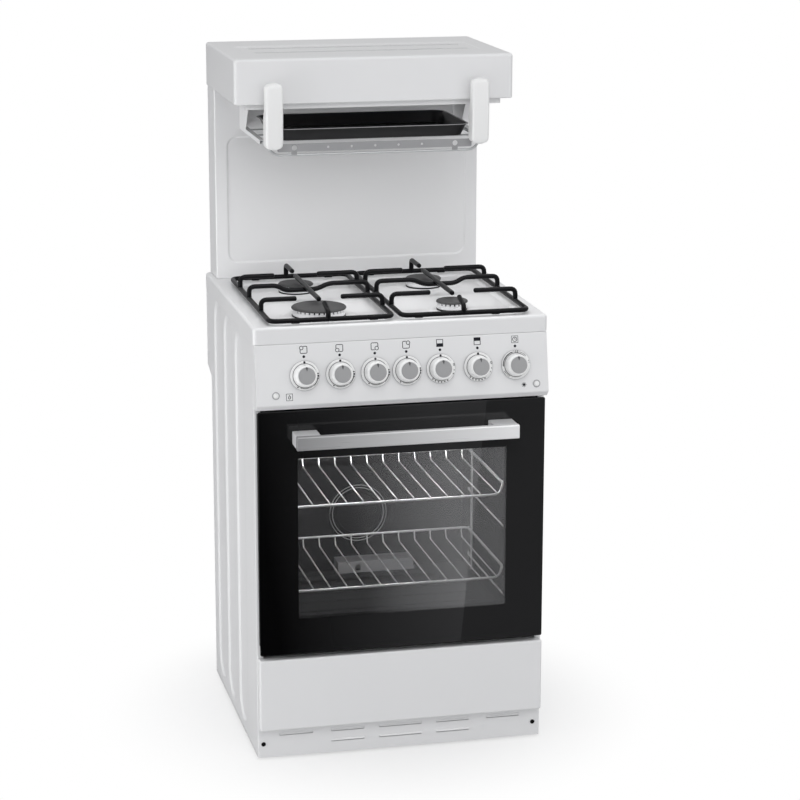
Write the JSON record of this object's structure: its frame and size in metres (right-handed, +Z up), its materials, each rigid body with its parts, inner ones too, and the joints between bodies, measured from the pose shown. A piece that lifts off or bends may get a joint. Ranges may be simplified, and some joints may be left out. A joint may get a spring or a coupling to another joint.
{
  "type": "gas cooker with eye level grill",
  "caption": "Freestanding gas cooker with a rod-supported hob, oven with a drop-down glass door, storage flap and an eye level grill on a tall splashback.",
  "frame": {"origin": "on the floor under the middle of the cooker's box", "axes": "+Z up, front faces -Y, +X to the right as seen from the front"},
  "size_m": [0.6, 0.666, 1.403],
  "materials": {
    "white_enamel": "glossy enamel",
    "white_plastic": "semi-gloss moulding",
    "galvanised_steel": "plain coated sheet",
    "chrome_wire": "bright plated wire",
    "handle_steel": "satin brushed",
    "cast_aluminium": "fine cast",
    "black_rod": "satin enamel",
    "black_enamel": "glossy enamel",
    "grey_enamel": "glossy speckled enamel",
    "door_glass": "tinted",
    "lamp_glass": "moulded",
    "seal_cord": "matt",
    "foot_plastic": "matt",
    "mineral_wool": "soft"
  },
  "bodies": {
    "cooker_case": {"side_panel_left": "white_enamel", "side_panel_right": "white_enamel", "plinth": "white_enamel", "control_panel": "white_enamel", "hob_top": "white_enamel", "splashback": "white_enamel", "grill_hood": "white_enamel", "back_panel": "galvanised_steel", "base_tray": "galvanised_steel", "storage_liner": "galvanised_steel", "door_hinge_left": "galvanised_steel", "door_hinge_right": "galvanised_steel", "gas_tap_rail": "galvanised_steel", "splashback_rear_cover": "galvanised_steel", "grill_chassis": "galvanised_steel", "foot_front_left": "foot_plastic", "foot_rear_left": "foot_plastic", "foot_front_right": "foot_plastic", "foot_rear_right": "foot_plastic", "oven_cavity": "grey_enamel", "oven_burner_cover": "grey_enamel", "oven_insulation": "mineral_wool", "oven_lamp": "lamp_glass", "oven_burner": "handle_steel", "grill_burner": "handle_steel", "shelf_runner_left": "chrome_wire", "shelf_runner_right": "chrome_wire", "shelf_upper": "chrome_wire", "shelf_lower": "chrome_wire", "door_seal": "seal_cord", "burner_crown_left_rear": "cast_aluminium", "burner_crown_left_front": "cast_aluminium", "burner_crown_right_rear": "cast_aluminium", "burner_crown_right_front": "cast_aluminium", "burner_cap_left_rear": "black_rod", "burner_cap_left_front": "black_rod", "burner_cap_right_rear": "black_rod", "burner_cap_right_front": "black_rod"},
    "oven_door": {"door_outer_glass": "door_glass", "door_inner_panel": "black_enamel", "door_inner_glass": "door_glass", "door_handle_bar": "handle_steel", "door_handle_post_left": "chrome_wire", "door_handle_post_right": "chrome_wire"},
    "storage_door": {"storage_flap": "white_enamel"},
    "knob_body_1": {"knob_1": "white_plastic"},
    "knob_body_2": {"knob_2": "white_plastic"},
    "knob_body_3": {"knob_3": "white_plastic"},
    "knob_body_4": {"knob_4": "white_plastic"},
    "knob_body_5": {"knob_5": "white_plastic"},
    "knob_body_6": {"knob_6": "white_plastic"},
    "knob_body_7": {"knob_7": "white_plastic"},
    "ignition_key": {"ignition_button": "white_plastic"},
    "light_key": {"light_button": "white_plastic"},
    "left_support": {"pan_support_left": "black_rod"},
    "right_support": {"pan_support_right": "black_rod"},
    "grill_tray": {"grill_carriage": "chrome_wire", "grill_handle_left": "white_plastic", "grill_handle_right": "white_plastic"},
    "pan_body": {"grill_pan": "black_enamel"}
  },
  "joints": [
    {"name": "door_hinge", "type": "hinge", "parent": "cooker_case", "child": "oven_door", "pos_m": [0, -0.263, 0.238], "axis": [1, 0, 0], "range_deg": [0, 90]},
    {"name": "flap_hinge", "type": "hinge", "parent": "cooker_case", "child": "storage_door", "pos_m": [0, -0.265, 0.074], "axis": [1, 0, 0], "range_deg": [0, 90]},
    {"name": "knob_turn_1", "type": "hinge", "parent": "cooker_case", "child": "knob_body_1", "pos_m": [-0.2, -0.27862, 0.808], "axis": [0, -0.9833, 0.1822], "range_deg": [0, 210]},
    {"name": "knob_turn_2", "type": "hinge", "parent": "cooker_case", "child": "knob_body_2", "pos_m": [-0.128, -0.27862, 0.808], "axis": [0, -0.9833, 0.1822], "range_deg": [0, 210]},
    {"name": "knob_turn_3", "type": "hinge", "parent": "cooker_case", "child": "knob_body_3", "pos_m": [-0.057, -0.27862, 0.808], "axis": [0, -0.9833, 0.1822], "range_deg": [0, 210]},
    {"name": "knob_turn_4", "type": "hinge", "parent": "cooker_case", "child": "knob_body_4", "pos_m": [0.007, -0.27862, 0.808], "axis": [0, -0.9833, 0.1822], "range_deg": [0, 210]},
    {"name": "knob_turn_5", "type": "hinge", "parent": "cooker_case", "child": "knob_body_5", "pos_m": [0.076, -0.27862, 0.808], "axis": [0, -0.9833, 0.1822], "range_deg": [0, 210]},
    {"name": "knob_turn_6", "type": "hinge", "parent": "cooker_case", "child": "knob_body_6", "pos_m": [0.153, -0.27862, 0.808], "axis": [0, -0.9833, 0.1822], "range_deg": [0, 210]},
    {"name": "knob_turn_7", "type": "hinge", "parent": "cooker_case", "child": "knob_body_7", "pos_m": [0.231, -0.27862, 0.808], "axis": [0, -0.9833, 0.1822], "range_deg": [-330, 0]},
    {"name": "ignition_press", "type": "slide", "parent": "cooker_case", "child": "ignition_key", "axis": [0, 0.9833, -0.1822], "range_m": [0, 0.0035], "stiffness_N_per_m": 300},
    {"name": "light_press", "type": "slide", "parent": "cooker_case", "child": "light_key", "axis": [0, 0.9833, -0.1822], "range_m": [0, 0.0035], "stiffness_N_per_m": 300},
    {"name": "left_support_lift", "type": "slide", "parent": "cooker_case", "child": "left_support", "axis": [0, 0, 1], "range_m": [0, 0.1]},
    {"name": "right_support_lift", "type": "slide", "parent": "cooker_case", "child": "right_support", "axis": [0, 0, 1], "range_m": [0, 0.1]},
    {"name": "grill_slide", "type": "slide", "parent": "cooker_case", "child": "grill_tray", "axis": [0, -1, 0], "range_m": [0, 0.2]},
    {"name": "pan_lift", "type": "slide", "parent": "grill_tray", "child": "pan_body", "axis": [0, 0, 1], "range_m": [0, 0.03]}
  ]
}
